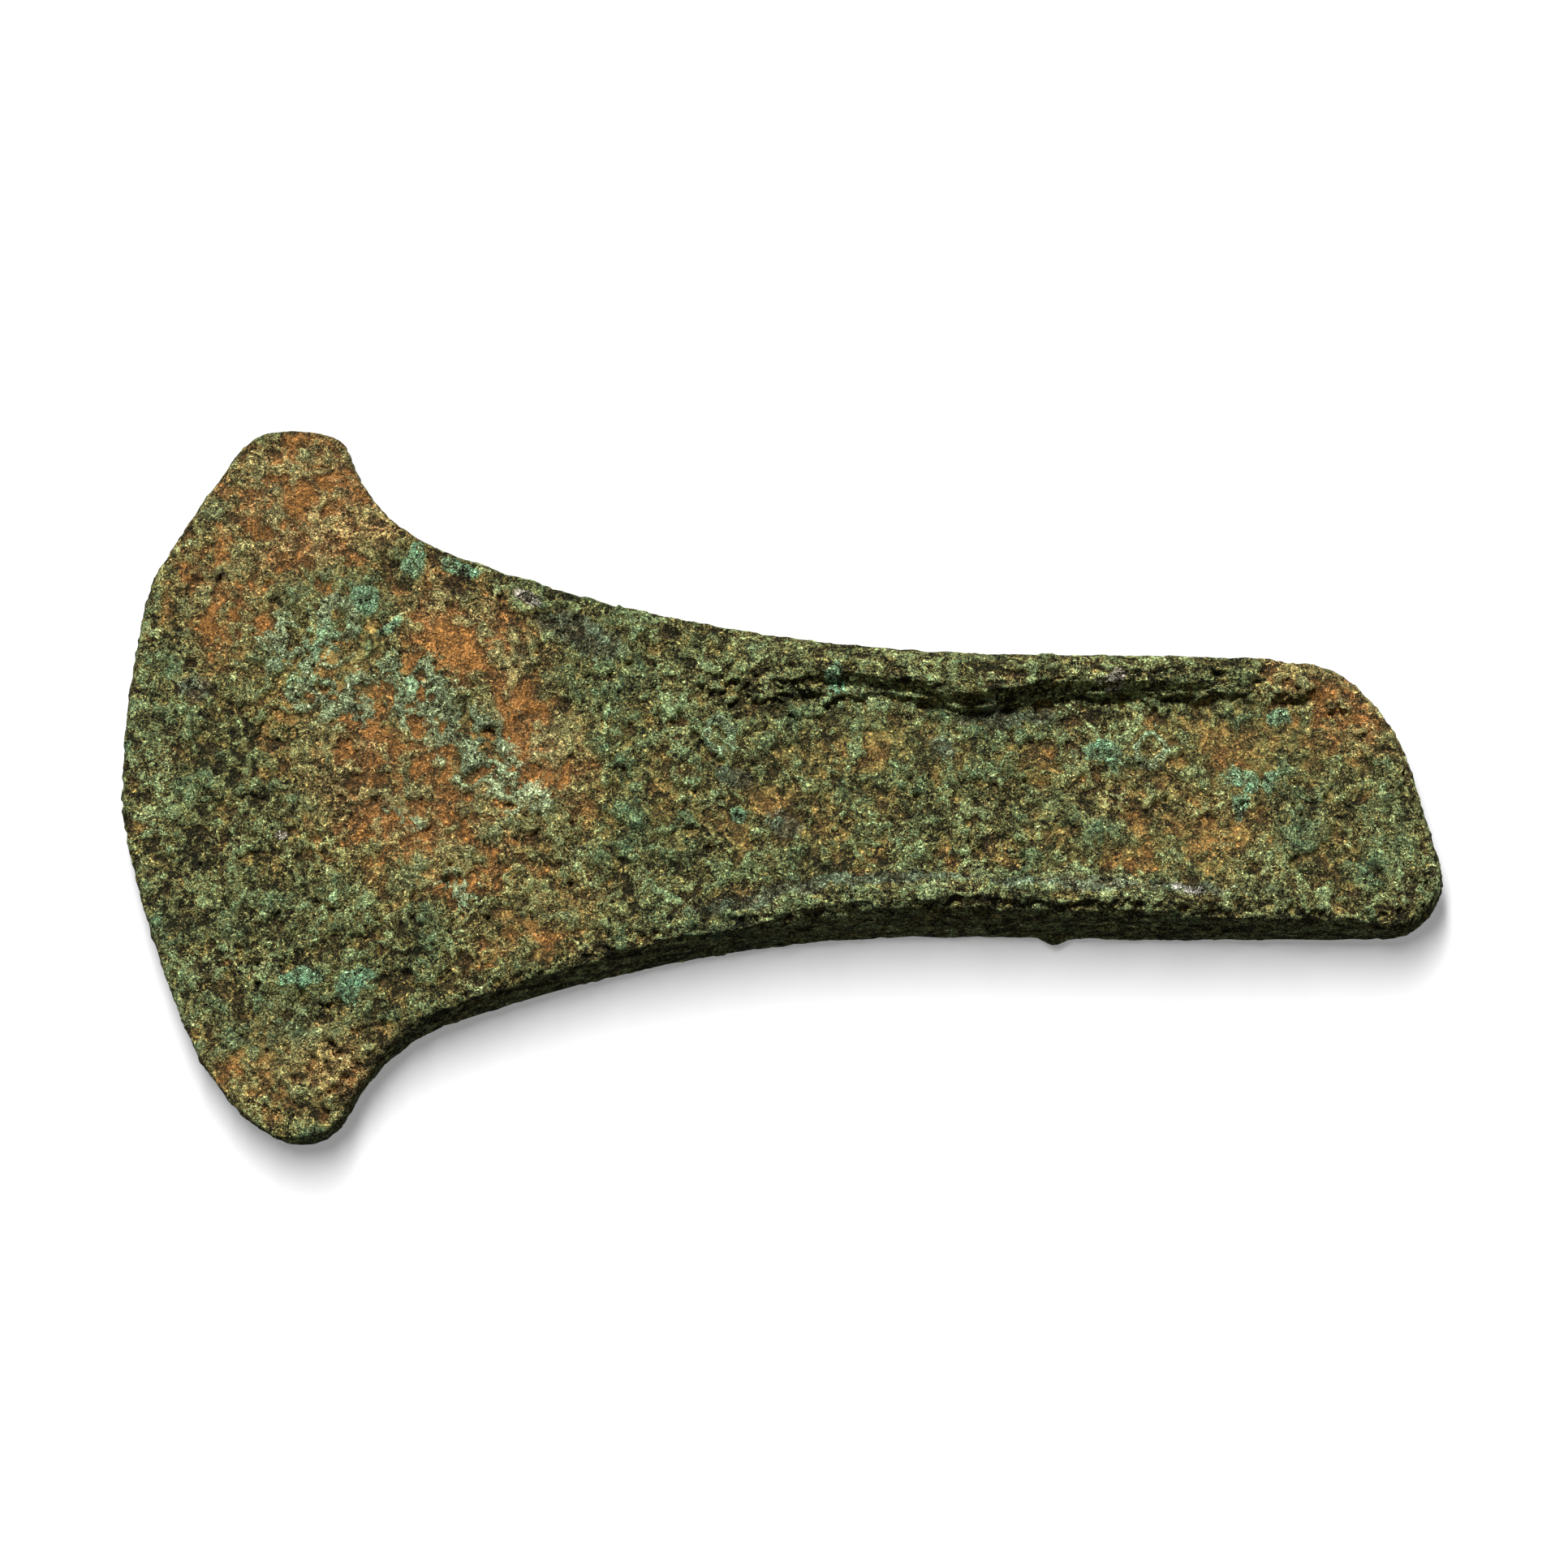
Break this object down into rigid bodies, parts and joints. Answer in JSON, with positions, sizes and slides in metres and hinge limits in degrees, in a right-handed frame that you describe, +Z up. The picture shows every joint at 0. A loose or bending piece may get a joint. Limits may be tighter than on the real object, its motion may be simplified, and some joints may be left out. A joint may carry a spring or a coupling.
{
  "type": "bronze flanged axe head",
  "caption": "Cast bronze axe head with a flared crescent blade, low flanges that form a haft channel on each face, and a slanted worn butt.",
  "frame": {"origin": "middle of the outline, on the surface that the axe head lies on", "axes": "+X from the cutting edge to the butt, +Y across the blade, +Z up out of the upper face"},
  "size_m": [0.13, 0.0725, 0.014],
  "materials": {
    "patinated_bronze": "rough matt patina, green and olive with brown earth in the hollows"
  },
  "bodies": {
    "root": {"axe_head": "patinated_bronze"}
  },
  "joints": []
}
